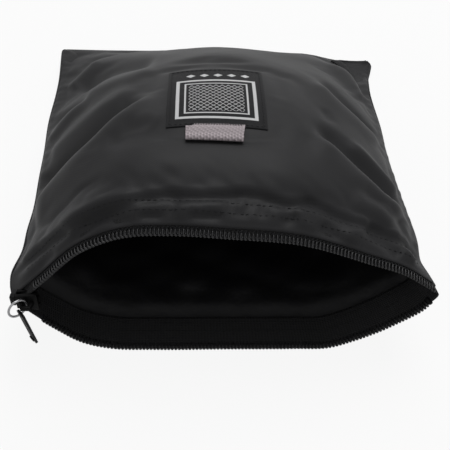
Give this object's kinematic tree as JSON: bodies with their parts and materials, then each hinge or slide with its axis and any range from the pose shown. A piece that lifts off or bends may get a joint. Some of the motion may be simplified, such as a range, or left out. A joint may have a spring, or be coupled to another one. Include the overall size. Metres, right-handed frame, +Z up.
{
  "type": "zippered padded pouch",
  "caption": "Soft padded pouch lying on its back with its zipped mouth held open, a label and webbing loop on top, and a slider with ring and pull at one corner.",
  "frame": {"origin": "middle of the flat underside that the pouch lies on", "axes": "+Z up; +X across the mouth, from the end where the slider stands to the other; +Y from the mouth to the folded closed end"},
  "size_m": [0.2266, 0.2274, 0.0952],
  "materials": {
    "outer_cloth": "coated plain-weave nylon, soft sheen",
    "foam": "closed-cell foam padding",
    "lining_cloth": "smooth lining taffeta",
    "binding": "ribbed binding tape",
    "zip_tape": "woven zipper tape",
    "zip_coil": "moulded nylon monofilament coil",
    "stop_metal": "black enamel on pressed metal",
    "slider_paint": "black enamel on die-cast metal",
    "ring_metal": "nickel-plated wire",
    "label_cloth": "woven damask label",
    "thread": "bonded polyester thread",
    "webbing": "ribbed polypropylene webbing"
  },
  "bodies": {
    "pouch": {"outer_shell": "outer_cloth", "padding": "foam", "lining": "lining_cloth", "side_binding_left": "binding", "side_binding_right": "binding", "zip_tape_upper": "zip_tape", "zip_tape_lower": "zip_tape", "zip_coil_upper": "zip_coil", "zip_coil_lower": "zip_coil", "zip_end": "zip_coil", "bottom_stop": "stop_metal", "top_stop_upper": "stop_metal", "top_stop_lower": "stop_metal", "label_patch": "label_cloth", "label_stitching": "thread", "webbing_tack": "thread", "webbing_root": "webbing", "lip_stitch_upper_1": "thread", "lip_stitch_upper_2": "thread", "lip_stitch_lower_1": "thread", "lip_stitch_lower_2": "thread"},
    "slider": {"slider_body": "slider_paint", "slider_crown": "slider_paint"},
    "ring": {"pull_ring": "ring_metal"},
    "pull": {"pull_tab": "slider_paint"},
    "loop": {"webbing_loop": "webbing"}
  },
  "joints": [
    {"name": "slider_travel", "type": "slide", "parent": "pouch", "child": "slider", "axis": [1, 0, 0], "range_m": [0, 0.1908], "deforming": ["zip_tape_upper", "zip_tape_lower", "zip_coil_upper", "zip_coil_lower"]},
    {"name": "ring_swing", "type": "hinge", "parent": "slider", "child": "ring", "pos_m": [-0.10173, -0.10815, 0.04006], "axis": [0, 0.2822, 0.9593], "range_deg": [-10, 45]},
    {"name": "pull_swing", "type": "hinge", "parent": "ring", "child": "pull", "pos_m": [-0.10459, -0.11169, 0.03715], "axis": [-0.7292, -0.6844, 0], "range_deg": [0, 60]},
    {"name": "loop_fold", "type": "hinge", "parent": "pouch", "child": "loop", "pos_m": [-0.0065, -0.03563, 0.09359], "axis": [-1, 0, 0], "range_deg": [0, 90]}
  ]
}
